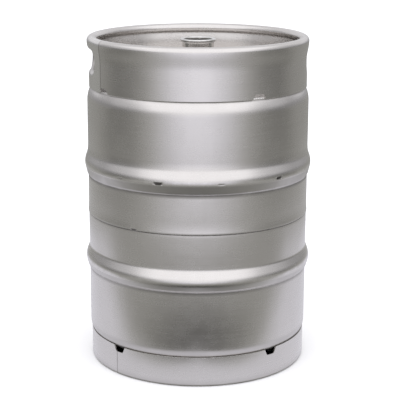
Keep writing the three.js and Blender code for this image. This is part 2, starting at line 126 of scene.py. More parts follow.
def smoothstep(low, high, value):
    t = min(max((value - low) / (high - low), 0.0), 1.0)
    return t * t * (3 - 2 * t)


def band(value, low, high, fade):
    """1 between two values, fading in below the lower one and out under the upper one."""
    return smoothstep(low - fade, low, value) * (1 - smoothstep(high - fade, high, value))


def bell(value, centre, reach):
    """1 at a value, falling off smoothly on both sides of it."""
    return math.exp(-(((value - centre) / reach) ** 2))


def angle_between(a, b):
    """The signed angle from b to a, in degrees, between -180 and 180."""
    return (a - b + 180) % 360 - 180


def place(angle, radius, z):
    return Vector((radius * math.sin(rad(angle)), -radius * math.cos(rad(angle)), z))


# ---- mesh helpers
def arc(centre_r, centre_z, radius, start, end, steps):
    """Points [r, z] of an arc, angles in degrees."""
    points = []
    for i in range(steps + 1):
        a = rad(start + (end - start) * i / steps)
        points.append((centre_r + radius * math.cos(a), centre_z + radius * math.sin(a)))
    return points


def filleted(corners):
    """An outline with round corners: each corner is (r, z, fillet radius)."""
    points = []
    count = len(corners)
    for i, (r, z, fillet) in enumerate(corners):
        here = Vector((r, z))
        before = Vector(corners[i - 1][:2]) - here
        after = Vector(corners[(i + 1) % count][:2]) - here
        if fillet <= 0:
            points.append((r, z))
            continue
        turn = before.angle(after)
        reach = min(fillet / math.tan(turn / 2), 0.45 * before.length, 0.45 * after.length)
        start = here + before.normalized() * reach
        end = here + after.normalized() * reach
        for step in range(4):
            t = step / 3
            bend = start.lerp(here, t).lerp(here.lerp(end, t), t)
            points.append((bend.x, bend.y))
    return points


def offset_line(line, distance):
    """The line [r, z] moved sideways, to the left of its direction for a positive distance."""
    moved = []
    for i, point in enumerate(line):
        ahead = Vector(line[min(i + 1, len(line) - 1)])
        behind = Vector(line[max(i - 1, 0)])
        way = (ahead - behind).normalized()
        moved.append((point[0] - way.y * distance, max(point[1] + way.x * distance, 0.0)))
    return moved


def sheet_outline(outer_line, thickness):
    """A closed outline of a sheet whose outer face is the line, with the sheet to the line's left."""
    inner = offset_line(outer_line, thickness)
    return outer_line + inner[::-1]


def new_object(name, mesh, body, node, material):
    piece = bpy.data.objects.new(name, mesh)
    bpy.context.scene.collection.objects.link(piece)
    piece.data.materials.append(material)
    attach(piece, body)
    if node:
        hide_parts(node)
    return piece


def finish_mesh(name, bm, sharp_angle=32, closed=True):
    bmesh.ops.remove_doubles(bm, verts=bm.verts, dist=1e-6)
    if closed:
        bmesh.ops.recalc_face_normals(bm, faces=bm.faces)
    mesh = bpy.data.meshes.new(name)
    bm.to_mesh(mesh)
    bm.free()
    mesh.shade_smooth()
    mesh.set_sharp_from_angle(angle=rad(sharp_angle))
    return mesh


def bridge(bm, rows):
    """Joins each closed row of points to the next one with faces."""
    for low, high in zip(rows, rows[1:]):
        for i in range(len(low)):
            j = (i + 1) % len(low)
            bm.faces.new((low[i], low[j], high[j], high[i]))


def even_columns(step):
    return [-180 + step * i for i in range(round(360 / step))]


def turned_mesh(name, outline, columns, shift=None):
    """A closed outline of [r, z] points turned round the axis; shift moves each point outwards."""
    bm = bmesh.new()
    rows = []
    for r, z in outline:
        row = []
        for angle in columns:
            radius = r + (shift(angle, r, z) if shift and r > 0 else 0.0)
            row.append(bm.verts.new(place(angle, radius, z)))
        rows.append(row)
    bridge(bm, rows + rows[:1])
    return finish_mesh(name, bm)


def turned_piece(name, node, body, material, corners, step=3.0):
    mesh = turned_mesh(name, filleted(corners), even_columns(step))
    return new_object(name, mesh, body, node, material)


# ---- shape of the keg body
def flank_fall(slopes, distance):
    """How far a flank falls away over a distance from the crest, its slope running straight between knots."""
    fall = 0.0
    for (start, slope), (end, next_slope) in zip(slopes, slopes[1:]):
        run = min(distance, end) - start
        if run <= 0:
            break
        reached = slope + (next_slope - slope) * run / (end - start)
        fall += run * (slope + reached) / 2
    return fall


def hoop_line(wall, crest_z, below, above):
    """The hoop's outer face from its crease up to the plain wall."""
    points = []
    for slopes, side in ((below, -1), (above, 1)):
        reach = slopes[-1][0]
        share = (HOOP_RADIUS - wall) / flank_fall(slopes, reach)
        flank = []
        for i in range(FLANK_STEPS + 1):
            distance = reach * i / FLANK_STEPS
            flank.append((HOOP_RADIUS - share * flank_fall(slopes, distance), crest_z + side * distance))
        points += flank[::-1] if side < 0 else flank[1:]
    return points


def head_line(wall, knuckle, tangent_z, apex_z, side, inner_radius, crown_steps):
    """A head's outer face from the wall to a radius near the axis: a knuckle, then a crown tangent to it."""
    centre = wall - knuckle
    rise = side * (apex_z - tangent_z)
    crown = (centre**2 + rise**2 - knuckle**2) / (2 * (rise - knuckle))
    lean = math.asin(centre / (crown - knuckle))
    points = []
    knuckle_steps = 18
    for i in range(knuckle_steps + 1):
        a = (math.pi / 2 - lean) * i / knuckle_steps
        points.append((centre + knuckle * math.cos(a), tangent_z + side * knuckle * math.sin(a)))
    start = crown * math.sin(lean)
    for i in range(1, crown_steps + 1):
        r = start + (inner_radius - start) * i / crown_steps
        points.append((r, tangent_z + side * (rise - crown + math.sqrt(crown**2 - r**2))))
    return points


def wall_line(wall, low_z, high_z, steps):
    return [(wall, low_z + (high_z - low_z) * i / steps) for i in range(steps + 1)]


# Waves in the drawn sheet: how far they stand out, how many to a metre across and up, and their start.
SHEET_WAVES = ((0.00035, 7, 9, 0), (0.00008, 22, 26, 5))


def unevenness(angle, r, z):
    """The drawn sheet is never quite round."""
    spot = place(angle, r, z)
    out = 0.0
    for size, across, up, start in SHEET_WAVES:
        out += size * noise.noise(Vector((spot.x * across + start, spot.y * across, spot.z * up)))
    return out


# Short slits pressed into the sheet: (angle, height, half width, half height, depth).
SLITS = (
    (-19.1, 0.3633, 0.0065, 0.0018, 0.0022),
    (43.2, 0.3637, 0.0060, 0.0018, 0.0020),
    (-40.4, 0.3641, 0.0050, 0.0012, 0.0003),
    (11.2, 0.3633, 0.0050, 0.0012, 0.0003),
    (-33.4, 0.2768, 0.0055, 0.0013, 0.0015),
)


# A slit fades out between these multiples of its half width and of its half height.
SLIT_ENDS = (0.7, 1.3)
SLIT_SIDES = (0.6, 1.4)


def slit_depth(angle, r, z):
    depth = 0.0
    for at, height, half_width, half_height, deep in SLITS:
        across = abs(rad(angle_between(angle, at))) * r / half_width
        up = abs(z - height) / half_height
        if across < SLIT_ENDS[1] and up < SLIT_SIDES[1]:
            depth += deep * (1 - smoothstep(*SLIT_ENDS, across)) * (1 - smoothstep(*SLIT_SIDES, up))
    return depth


def shell_shift(angle, r, z):
    return unevenness(angle, r, z) - slit_depth(angle, r, z)


# The halves' edges at the waist weld, as (outwards, upwards) from the wall and the weld.
UPPER_GIRTH_EDGE = ((0.0002, 0.0004), (0.0007, 0.0008), (0.0008, 0.0016), (0.0006, 0.004), (0.0002, 0.010))
LOWER_GIRTH_EDGE = ((-0.0006, -0.0003), (-0.0001, -0.0008), (0.0, -0.002))
# The rows of the plain wall stay this far from the waist, the hoops and the knuckles.
GIRTH_CLEAR = (0.018, 0.006)  # above and below
HOOP_CLEAR = 0.008
CREASE_CLEAR = 0.006
KNUCKLE_CLEAR = 0.004


def upper_shell(material):
    hoop_top = UPPER_HOOP_Z + UPPER_FLANK_ABOVE[-1][0]
    line = [(UPPER_WALL + out, GIRTH_Z + up) for out, up in UPPER_GIRTH_EDGE]
    line += wall_line(UPPER_WALL, GIRTH_Z + GIRTH_CLEAR[0], UPPER_CREASE_Z - CREASE_CLEAR, 8)
    line += hoop_line(UPPER_WALL, UPPER_HOOP_Z, UPPER_FLANK_BELOW, UPPER_FLANK_ABOVE)
    line += wall_line(UPPER_WALL, hoop_top + HOOP_CLEAR, UPPER_TANGENT_Z - KNUCKLE_CLEAR, 9)
    line += head_line(UPPER_WALL, UPPER_KNUCKLE, UPPER_TANGENT_Z, DOME_TOP_Z, 1, NECK_WAIST + WELD_GAP, 14)
    outline = sheet_outline(line, SHELL_SHEET)
    mesh = turned_mesh("upper_shell_skin", outline, even_columns(COLUMN_STEP), shell_shift)
    return new_object("upper_shell_skin", mesh, "keg", "upper_shell", material)


SUMP_RADIUS = 0.034
# The sump inside that radius, as (radius, height above its floor).
SUMP = ((0.030, 0.0025), (0.026, 0.0005), (0.022, 0.0), (0.011, 0.0), (0.0, 0.0))


def lower_shell(material):
    hoop_top = LOWER_HOOP_Z + LOWER_FLANK_ABOVE[-1][0]
    line = [(LOWER_WALL + out, GIRTH_Z + up) for out, up in LOWER_GIRTH_EDGE]
    line += wall_line(LOWER_WALL, GIRTH_Z - GIRTH_CLEAR[1], hoop_top + HOOP_CLEAR, 7)
    line += hoop_line(LOWER_WALL, LOWER_HOOP_Z, LOWER_FLANK_BELOW, LOWER_FLANK_ABOVE)[::-1]
    line += wall_line(LOWER_WALL, LOWER_CREASE_Z - CREASE_CLEAR, LOWER_TANGENT_Z + KNUCKLE_CLEAR, 9)
    line += head_line(LOWER_WALL, LOWER_KNUCKLE, LOWER_TANGENT_Z, HEAD_BOTTOM_Z, -1, SUMP_RADIUS, 12)
    line += [(r, LOWER_LOW.z + up) for r, up in SUMP]
    outline = sheet_outline(line, -SHELL_SHEET)
    mesh = turned_mesh("lower_shell_skin", outline, even_columns(COLUMN_STEP), shell_shift)
    return new_object("lower_shell_skin", mesh, "keg", "lower_shell", material)


WELD_RIPPLES = 260  # round the keg
WELD_GRAIN = 60  # scale of the bead's uneven lumps


def weld_bead(name, radius, z, thick, material, ripple):
    """A low rippled weld bead round the keg."""
    section = arc(radius, z, thick, 0, 360, 8)[:-1]

    def shift(angle, r, height):
        lumps = noise.noise(place(angle, r, height) * WELD_GRAIN)
        return ripple * (math.sin(rad(angle) * WELD_RIPPLES) + lumps)

    mesh = turned_mesh(name, section, even_columns(0.25), shift)
    return new_object(name, mesh, "keg", None, material)


# ---- chimes
def notch_rise(angle, notches, radius, edge, inner, height):
    """How high a round-cornered notch reaches at an angle."""
    for at in notches:
        across = abs(rad(angle_between(angle, at))) * radius
        if across < edge:
            return height * (1 - smoothstep(inner, edge, across)) ** NOTCH_ROUNDING
    return 0.0


def seam_columns(seam, notches):
    """Even columns, with close ones across the vertical seam and at the notches' sides."""
    columns = set(even_columns(COLUMN_STEP))
    for offset in (0.08, 0.16, 0.26, 0.38):
        columns |= {seam - offset, seam + offset}
    columns.add(seam)
    for notch in notches:
        for i in range(-18, 19):
            columns.add(round(notch + i * 0.25 + 0.02, 3))
    return sorted(columns)


SEAM_PEAK = 0.0007
SEAM_FLATS = (0.045, 0.020)  # how far the peak reaches to the left and to the right of the seam
SEAM_SINK = 0.0003  # the strip lies this much inside its radius, away from the seam
# A shallow sag beside the seam.
SAG_DEPTH = 0.0010
SAG_PLACE = -0.040
SAG_REACH = 0.022
# The sunken weld line.
GROOVE_DEPTH = 0.00045
GROOVE_REACH = 0.0007


def seam_shape(angle, seam, radius):
    """A rolled strip closes in a slight peak, with a sunken weld line along it."""
    across = rad(angle_between(angle, seam)) * radius
    flat = SEAM_FLATS[0] if across < 0 else SEAM_FLATS[1]
    peak = SEAM_PEAK * math.exp(-abs(across) / flat) - SEAM_SINK
    sag = SAG_DEPTH * bell(across, SAG_PLACE, SAG_REACH)
    groove = GROOVE_DEPTH * bell(across, 0.0, GROOVE_REACH)
    return peak - sag - groove


# Shares of the sheet's waves that the stiffer rings show.
CHIME_WAVES = 0.7
CURL_WAVES = 0.6
FOOT_WAVES = 0.5


def chime_radius(z):
    """The outer face of the top chime's wall, which flares out to its bead."""
    return CHIME_RADIUS + (BEAD_RADIUS - CHIME_RADIUS) * smoothstep(FLARE_Z, CHIME_HIGH.z - CURL, z)


def chime_shift(angle, r, z):
    """The seam's shape dies out towards the curl."""
    calm = smoothstep(CHIME_HIGH.z + 0.004, CHIME_HIGH.z - 0.025, z)
    return unevenness(angle + 40, r, z) * CHIME_WAVES + seam_shape(angle, CHIME_SEAM, CHIME_RADIUS) * calm


PATCH_HALF_ANGLE = 23.0
PATCH_LOW_Z = 0.518
PATCH_HIGH_Z = 0.579
PATCH_ROWS = 16


def hand_hole_patch(bm, centre, columns, rows):
    """Fills the window of the chime's grid round a hand hole with rings that follow its rolled lip.

    rows are the grid's rows of vertices from the window's bottom to its top, keyed by column angle.
    """
    left = columns.index(centre - PATCH_HALF_ANGLE)
    right = columns.index(centre + PATCH_HALF_ANGLE)
    border = [rows[0][i] for i in range(left, right)]
    border += [row[right] for row in rows[:-1]]
    border += [rows[-1][i] for i in range(right, left, -1)]
    border += [row[left] for row in rows[:0:-1]]
    straight = HAND_HOLE_HALF_WIDTH - HAND_HOLE_HALF_HEIGHT
    outlines = []
    for vert in border:
        angle = math.degrees(math.atan2(vert.co.x, -vert.co.y))
        u = rad(angle_between(angle, centre)) * CHIME_RADIUS
        v = vert.co.z - HAND_HOLE_Z
        spine = min(max(u, -straight), straight)
        way = Vector((u - spine, v)).normalized()
        outlines.append((Vector((u, v)), Vector((spine, 0.0)), way))

    def ring(reach, depth, blend):
        verts = []
        for edge, spine, way in outlines:
            spot = (spine + way * reach).lerp(edge, blend)
            angle = centre + math.degrees(spot.x / CHIME_RADIUS)
            z = HAND_HOLE_Z + spot.y
            radius = chime_radius(z) + chime_shift(angle, CHIME_RADIUS, z) - depth
            verts.append(bm.verts.new(place(angle, radius, z)))
        return verts

    roll_start = HAND_HOLE_HALF_HEIGHT + LIP_ROLL
    rings = [border]
    rings += [ring(roll_start, 0.0, blend) for blend in (0.75, 0.5, 0.25, 0.1, 0.0)]
    bend_steps = 9
    for i in range(1, bend_steps + 1):
        a = math.pi / 2 * i / bend_steps
        rings.append(ring(roll_start - LIP_ROLL * math.sin(a), LIP_ROLL * (1 - math.cos(a)), 0.0))
    rings.append(ring(HAND_HOLE_HALF_HEIGHT, LIP_ROLL + LIP_LAND, 0.0))
    bridge(bm, rings)


def thicken(piece, thickness):
    """The sheet's thickness, inwards, and its edges slightly broken."""
    solid = piece.modifiers.new("sheet", "SOLIDIFY")
    solid.thickness = thickness
    solid.offset = -1
    solid.use_even_offset = True
    edge = piece.modifiers.new("broken_edges", "BEVEL")
    edge.width = 0.0005
    edge.segments = 2
    edge.limit_method = "ANGLE"
    edge.angle_limit = rad(50)


def top_chime(material):
    columns = seam_columns(CHIME_SEAM, CHIME_NOTCHES)
    bm = bmesh.new()

    def row_at(heights):
        row = []
        for angle, z in zip(columns, heights):
            radius = chime_radius(z) + chime_shift(angle, CHIME_RADIUS, z)
            row.append(bm.verts.new(place(angle, radius, z)))
        return row

    low_edge = [CHIME_EDGE_Z + notch_rise(a, CHIME_NOTCHES, CHIME_RADIUS, *CHIME_NOTCH) for a in columns]
    rows = []
    for share in (0.0, 0.06, 0.2, 0.45, 0.7):
        rows.append(row_at([low + (PATCH_LOW_Z - low) * share for low in low_edge]))
    window_start = len(rows)
    for i in range(PATCH_ROWS):
        z = PATCH_LOW_Z + (PATCH_HIGH_Z - PATCH_LOW_Z) * i / (PATCH_ROWS - 1)
        rows.append(row_at([z] * len(columns)))
    window_end = len(rows) - 1
    curl_z = CHIME_HIGH.z - CURL
    rows.append(row_at([(PATCH_HIGH_Z + curl_z) / 2] * len(columns)))
    for r, z in arc(BEAD_RADIUS - CURL, curl_z, CURL, 0, CURL_END, 26):
        row = []
        for angle in columns:
            radius = r + chime_shift(angle, CHIME_RADIUS, z) * CURL_WAVES
            row.append(bm.verts.new(place(angle, radius, z)))
        rows.append(row)

    count = len(columns)
    for k, (low, high) in enumerate(zip(rows, rows[1:])):
        for i in range(count):
            middle = columns[i] + COLUMN_STEP / 8
            in_window = window_start <= k < window_end and any(
                abs(angle_between(middle, hole)) < PATCH_HALF_ANGLE for hole in HAND_HOLES
            )
            if not in_window:
                j = (i + 1) % count
                bm.faces.new((low[i], low[j], high[j], high[i]))
    for hole in HAND_HOLES:
        hand_hole_patch(bm, hole, columns, rows[window_start : window_end + 1])
    loose = [v for v in bm.verts if not v.link_faces]
    bmesh.ops.delete(bm, geom=loose, context="VERTS")
    mesh = finish_mesh("top_chime_skin", bm, 60, closed=False)
    piece = new_object("top_chime_skin", mesh, "keg", "top_chime", material)
    thicken(piece, CHIME_SHEET)
    return piece


def foot_lean(z):
    """How far the foot ring draws in towards its upper edge."""
    return FOOT_LEAN * max((z - FOOT_BASE_Z) / (FOOT_EDGE_Z - FOOT_BASE_Z), 0.0) ** 2


def foot_shift(angle, z):
    seam = seam_shape(angle, FOOT_SEAM, FOOT_RADIUS)
    return FOOT_WAVES * (seam + unevenness(angle + 90, FOOT_RADIUS, z))


def bottom_chime(material):
    columns = seam_columns(FOOT_SEAM, FOOT_NOTCHES)
    bm = bmesh.new()
    rows = []
    edge = [FOOT_EDGE_Z - notch_rise(a, FOOT_NOTCHES, FOOT_RADIUS, *FOOT_NOTCH) for a in columns]
    for share in (0.0, 0.05, 0.15, 0.3, 0.45, 0.6, 0.8, 1.0):
        row = []
        for angle, top in zip(columns, edge):
            z = top + (FOOT_BASE_Z - top) * share
            row.append(bm.verts.new(place(angle, FOOT_RADIUS - foot_lean(z) + foot_shift(angle, z), z)))
        rows.append(row)
    line = [(FOOT_RADIUS, 0.024), (FOOT_RADIUS, 0.014)]
    line += arc(FOOT_RADIUS - FOOT_ROLL, FOOT_ROLL, FOOT_ROLL, 0, -90, 10)
    line += [(FOOT_INNER_RADIUS + 0.0045, 0.0)]
    line += arc(FOOT_INNER_RADIUS + FOOT_LIP_ROLL, FOOT_LIP_ROLL, FOOT_LIP_ROLL, -90, -180, 5)
    line += [(FOOT_INNER_RADIUS, 0.0055)]
    for r, z in line:
        calm = smoothstep(0.0, 0.012, z)
        rows.append([bm.verts.new(place(angle, r + foot_shift(angle, z) * calm, z)) for angle in columns])
    bridge(bm, rows[::-1])
    mesh = finish_mesh("bottom_chime_skin", bm, 60, closed=False)
    piece = new_object("bottom_chime_skin", mesh, "keg", "bottom_chime", material)
    thicken(piece, CHIME_SHEET)
    return piece


# ---- neck and valve
def helix_spring(name, node, body, material, radius, wire, low, high, turns):
    """A compression spring with its end coils wound close, between two heights."""
    bm = bmesh.new()
    steps = turns * 48
    sides = 14
    rings = []
    low += wire
    high -= wire
    for i in range(steps + 1):
        t = i / steps
        climb = smoothstep(0.0, 1.0, t) * 0.5 + t * 0.5
        z = low + (high - low) * climb
        angle = 360 * turns * t
        ring = []
        for k in range(sides):
            a = 2 * math.pi * k / sides
            ring.append(bm.verts.new(place(angle, radius + wire * math.cos(a), z + wire * math.sin(a))))
        rings.append(ring)
    bridge(bm, rings)
    bm.faces.new(rings[0][::-1])
    bm.faces.new(rings[-1])
    mesh = finish_mesh(name, bm, 50)
    return new_object(name, mesh, body, node, material)


BALL_WAY = 0.0074  # bore over the ball, in the rubber and in the tube head
HEAD_FLANGE_Z = 0.558
CAGE_FLOOR_Z = 0.538
BASKET_FLOOR_Z = 0.5196


def neck_piece(material):
    low, high = NECK_LOW.z, NECK_HIGH.z
    flange = NECK_HIGH.x
    bore, lower_bore = 0.0255, 0.0226
    ledge = 0.562
    groove, groove_low, groove_high = 0.0266, 0.5692, 0.5718
    turned_piece("neck_ring", "neck", "keg", material, [
        (lower_bore, low, 0.0004),
        (NECK_WAIST, low, 0.0010),
        (NECK_WAIST, high - 0.0066, 0.0012),
        (flange - 0.0004, high - 0.0050, 0.0005),
        (flange, high - 0.0044, 0.0004),
        (flange, high - 0.0014, 0.0008),
        (flange - 0.0012, high, 0.0006),
        (bore + 0.0014, high, 0.0006),
        (bore, high - 0.0014, 0.0004),
        (bore, groove_high, 0.0002),
        (groove, groove_high, 0.0002),
        (groove, groove_low, 0.0002),
        (bore, groove_low, 0.0002),
        (bore, ledge, 0.0003),
        (lower_bore, ledge, 0.0004),
    ], step=1.5)


def body_seal(material):
    low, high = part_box("body_seal")
    inner = 0.0229
    turned_piece("body_seal_ring", "body_seal", "keg", material, [
        (inner, low.z, 0.0006),
        (high.x, low.z, 0.0008),
        (high.x, high.z, 0.0010),
        (inner, high.z, 0.0008),
    ])


def valve_body(material):
    low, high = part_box("valve_body")
    bore, barrel = 0.0183, 0.0202
    flange_low = high.z - 0.0033
    turned_piece("valve_housing", "valve_body", "keg", material, [
        (bore, low.z, 0.0003),
        (barrel, low.z, 0.0005),
        (barrel, flange_low, 0.0004),
        (high.x, flange_low, 0.0004),
        (high.x, high.z, 0.0006),
        (0.0210, high.z, 0.0002),
        (0.0207, high.z - 0.0004, 0.0002),
        (0.0186, high.z - 0.0004, 0.0006),
        (0.0166, high.z - 0.0014, 0.0004),
        (0.0165, flange_low + 0.0006, 0.0002),
        (bore, flange_low + 0.0006, 0.0003),
    ], step=2.0)


def gas_valve_seal(material):
    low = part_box("gas_valve_seal")[0]
    rim, mouth = 0.0176, 0.0056
    shoulder = 0.5656
    turned_piece("gas_seal_rubber", "gas_valve_seal", "valve", material, [
        (BALL_WAY, low.z, 0.0004),
        (rim, low.z, 0.0006),
        (rim, shoulder, 0.0005),
        (0.0159, shoulder, 0.0003),
        (0.0156, shoulder + 0.0022, 0.0007),
        (0.0128, shoulder + 0.0021, 0.0006),
        (0.0118, shoulder + 0.0013, 0.0006),
        (0.0086, shoulder + 0.0016, 0.0008),
        (mouth, shoulder + 0.0008, 0.0003),
        (mouth, shoulder - 0.0004, 0.0003),
        (BALL_WAY, low.z + 0.0015, 0.0003),
    ], step=2.0)


def tube_head(material):
    low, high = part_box("tube_head")
    stem, tube_fit, cage_fit = 0.0106, 0.00825, 0.0089
    cage_low, cage_high = 0.5362, 0.5513
    turned_piece("tube_head_cup", "tube_head", "valve", material, [
        (tube_fit, low.z, 0.0003),
        (stem, low.z, 0.0006),
        (stem, HEAD_FLANGE_Z, 0.0008),
        (high.x, HEAD_FLANGE_Z, 0.0004),
        (high.x, high.z, 0.0004),
        (BALL_WAY, high.z, 0.0004),
        (BALL_WAY, cage_high, 0.0001),
        (cage_fit, cage_high, 0.0001),
        (cage_fit, cage_low, 0.0001),
        (tube_fit, cage_low, 0.0001),
    ])


def ball_cage(material):
    low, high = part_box("ball_cage")
    bore, hole = 0.0072, 0.0032
    turned_piece("ball_cage_insert", "ball_cage", "valve", material, [
        (hole, low.z, 0.0003),
        (high.x, low.z, 0.0004),
        (high.x, high.z, 0.0004),
        (bore, high.z, 0.0003),
        (bore, CAGE_FLOOR_Z, 0.0004),
        (hole, CAGE_FLOOR_Z, 0.0003),
    ])


def check_ball(material):
    low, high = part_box("check_ball")
    centre_z = (low.z + high.z) / 2
    radius = high.x
    half = [(radius * math.cos(rad(a)), centre_z + radius * math.sin(rad(a))) for a in range(-90, 91, 5)]
    mesh = turned_mesh("check_ball_skin", half, even_columns(5))
    new_object("check_ball_skin", mesh, "ball", "check_ball", material)


def valve_springs(material):
    ball_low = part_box("check_ball")[0].z
    gap, turns = 0.0003, 5
    main = helix_spring("main_spring_wire", "main_spring", "keg", material, 0.0146, 0.00095,
                        BASKET_FLOOR_Z + gap, HEAD_FLANGE_Z - gap, turns)
    small = helix_spring("ball_spring_wire", "ball_spring", "valve", material, 0.0042, 0.00045,
                         CAGE_FLOOR_Z + gap, ball_low - gap, turns)
    compress(main)
    compress(small)


def compress(spring):
    """Gives the spring a mesh of its own; its shape stays as it is."""
    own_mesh(spring)


def carve(piece, cutters):
    """Cuts shapes out of a piece."""
    for cutter in cutters:
        cut = piece.modifiers.new("cut", "BOOLEAN")
        cut.operation = "DIFFERENCE"
        cut.object = cutter
        cut.solver = "EXACT"
    graph = bpy.context.evaluated_depsgraph_get()
    cut_mesh = bpy.data.meshes.new_from_object(piece.evaluated_get(graph))
    piece.modifiers.clear()
    piece.data = cut_mesh
    cut_mesh.shade_smooth()
    cut_mesh.set_sharp_from_angle(angle=rad(32))
    for cutter in cutters:
        bpy.data.objects.remove(cutter)


def cutter_block(angle, inner, outer, half_width, low, high):
    """A block through a wall, from one radius to another."""
    bm = bmesh.new()
    way = place(angle, 1, 0)
    side = place(angle + 90, 1, 0)
    corners = {}
    for i, radius in enumerate((inner, outer)):
        for j, across in enumerate((-half_width, half_width)):
            for k, z in enumerate((low, high)):
                corners[i, j, k] = bm.verts.new(way * radius + side * across + Vector((0, 0, z)))
    for a, b, c, d in (
        ((0, 0, 0), (0, 0, 1), (0, 1, 1), (0, 1, 0)),
        ((1, 0, 0), (1, 1, 0), (1, 1, 1), (1, 0, 1)),
        ((0, 0, 0), (1, 0, 0), (1, 0, 1), (0, 0, 1)),
        ((0, 1, 0), (0, 1, 1), (1, 1, 1), (1, 1, 0)),
        ((0, 0, 0), (0, 1, 0), (1, 1, 0), (1, 0, 0)),
        ((0, 0, 1), (1, 0, 1), (1, 1, 1), (0, 1, 1)),
    ):
        bm.faces.new((corners[a], corners[b], corners[c], corners[d]))
    bmesh.ops.recalc_face_normals(bm, faces=bm.faces)
    bmesh.ops.bevel(bm, geom=bm.edges[:], offset=half_width * 0.3, segments=3, affect="EDGES", profile=0.5)
    mesh = bpy.data.meshes.new("cutter")
    bm.to_mesh(mesh)
    bm.free()
    block = bpy.data.objects.new("cutter", mesh)
    bpy.context.scene.collection.objects.link(block)
    return block


def retaining_ring(material):
    low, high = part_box("retaining_ring")
    outer = high.x
    inner = outer - 0.004
    ring = turned_piece("retaining_ring_wire", "retaining_ring", "keg", material, [
        (inner, low.z, 0.0007),
        (outer, low.z, 0.0007),
        (outer, high.z, 0.0007),
        (inner, high.z, 0.0007),
    ], step=2.0)
    carve(ring, [cutter_block(150, inner - 0.003, outer + 0.003, 0.003, low.z - 0.004, high.z + 0.004)])


def spring_basket(material):
    low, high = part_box("spring_basket")
    hole, sheet = 0.0114, 0.0016
    basket = turned_piece("spring_basket_cup", "spring_basket", "keg", material, [
        (hole, low.z, 0.0004),
        (high.x, low.z, 0.0020),
        (high.x, high.z, 0.0004),
        (high.x - sheet, high.z, 0.0004),
        (high.x - sheet, low.z + sheet, 0.0008),
        (hole, low.z + sheet, 0.0004),
    ], step=2.0)
    sill = low.z + 0.0066
    lintel = sill + 0.013
    carve(basket, [cutter_block(at, 0.015, 0.026, 0.0065, sill, lintel) for at in (45, 135, 225, 315)])


def safety_clip(material):
    low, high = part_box("safety_clip")
    clip_radius = -(low.y + high.y) / 2
    thick = (high.y - low.y) / 2
    bm = bmesh.new()
    steps = 14
    rows = []
    for i in range(steps + 1):
        t = i / steps
        z = low.z + (high.z - low.z) * t
        width = high.x * (0.72 + 0.28 * smoothstep(0.0, 0.35, t))
        row = []
        for x, y in ((-width, -thick), (width, -thick), (width, thick), (-width, thick)):
            row.append(bm.verts.new(Vector((x, -clip_radius + y, z))))
        rows.append(row)
    bridge(bm, rows)
    bm.faces.new(rows[0][::-1])
    bm.faces.new(rows[-1])
    mesh = finish_mesh("safety_clip_leaf", bm)
    piece = new_object("safety_clip_leaf", mesh, "keg", "safety_clip", material)
    edge = piece.modifiers.new("broken_edges", "BEVEL")
    edge.width = 0.00015
    edge.segments = 2
    edge.limit_method = "ANGLE"


def down_tube(material):
    low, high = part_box("down_tube")
    outer = high.x
    inner = outer - 0.0009
    edge = inner + 0.0003
    steps = 40
    heights = [low.z + (high.z - low.z) * i / steps for i in range(steps + 1)]
    outline = [(edge, low.z)] + [(outer, z) for z in heights] + [(edge, high.z)]
    outline += [(inner, z) for z in heights[::-1]]
    mesh = turned_mesh("down_tube_pipe", outline, even_columns(5))
    tube = new_object("down_tube_pipe", mesh, "valve", "down_tube", material)
    carve(tube, [cutter_block(0, -0.012, 0.012, 0.003, low.z - 0.004, low.z + 0.009)])


# ---- material building blocks
class NodeTree:
    """Short calls that add nodes to a tree."""

    def __init__(self, tree):
        self.tree = tree

    def add(self, kind, **values):
        made = self.tree.nodes.new(kind)
        for key, value in values.items():
            setattr(made, key, value)
        return made

    def feed(self, socket, value):
        if isinstance(value, bpy.types.NodeSocket):
            self.tree.links.new(value, socket)
        else:
            socket.default_value = value

    def between(self, value, low, high, to_low=0.0, to_high=1.0):
        made = self.add("ShaderNodeMapRange", interpolation_type="SMOOTHSTEP")
        self.feed(made.inputs["Value"], value)
        for socket, number in zip(("From Min", "From Max", "To Min", "To Max"), (low, high, to_low, to_high)):
            made.inputs[socket].default_value = number
        return made.outputs["Result"]

    def maths(self, operation, first, second=0.0):
        made = self.add("ShaderNodeMath", operation=operation)
        self.feed(made.inputs[0], first)
        self.feed(made.inputs[1], second)
        return made.outputs[0]

    def plus(self, first, second):
        return self.maths("ADD", first, second)

    def minus(self, first, second):
        return self.maths("SUBTRACT", first, second)

    def times(self, first, second):
        return self.maths("MULTIPLY", first, second)

    def axes(self, vector):
        apart = self.add("ShaderNodeSeparateXYZ")
        self.feed(apart.inputs[0], vector)
        return [apart.outputs[axis] for axis in "XYZ"]

    def blend(self, share, first, second):
        made = self.add("ShaderNodeMix", data_type="FLOAT")
        self.feed(made.inputs["Factor"], share)
        self.feed(made.inputs["A"], first)
        self.feed(made.inputs["B"], second)
        return made.outputs["Result"]


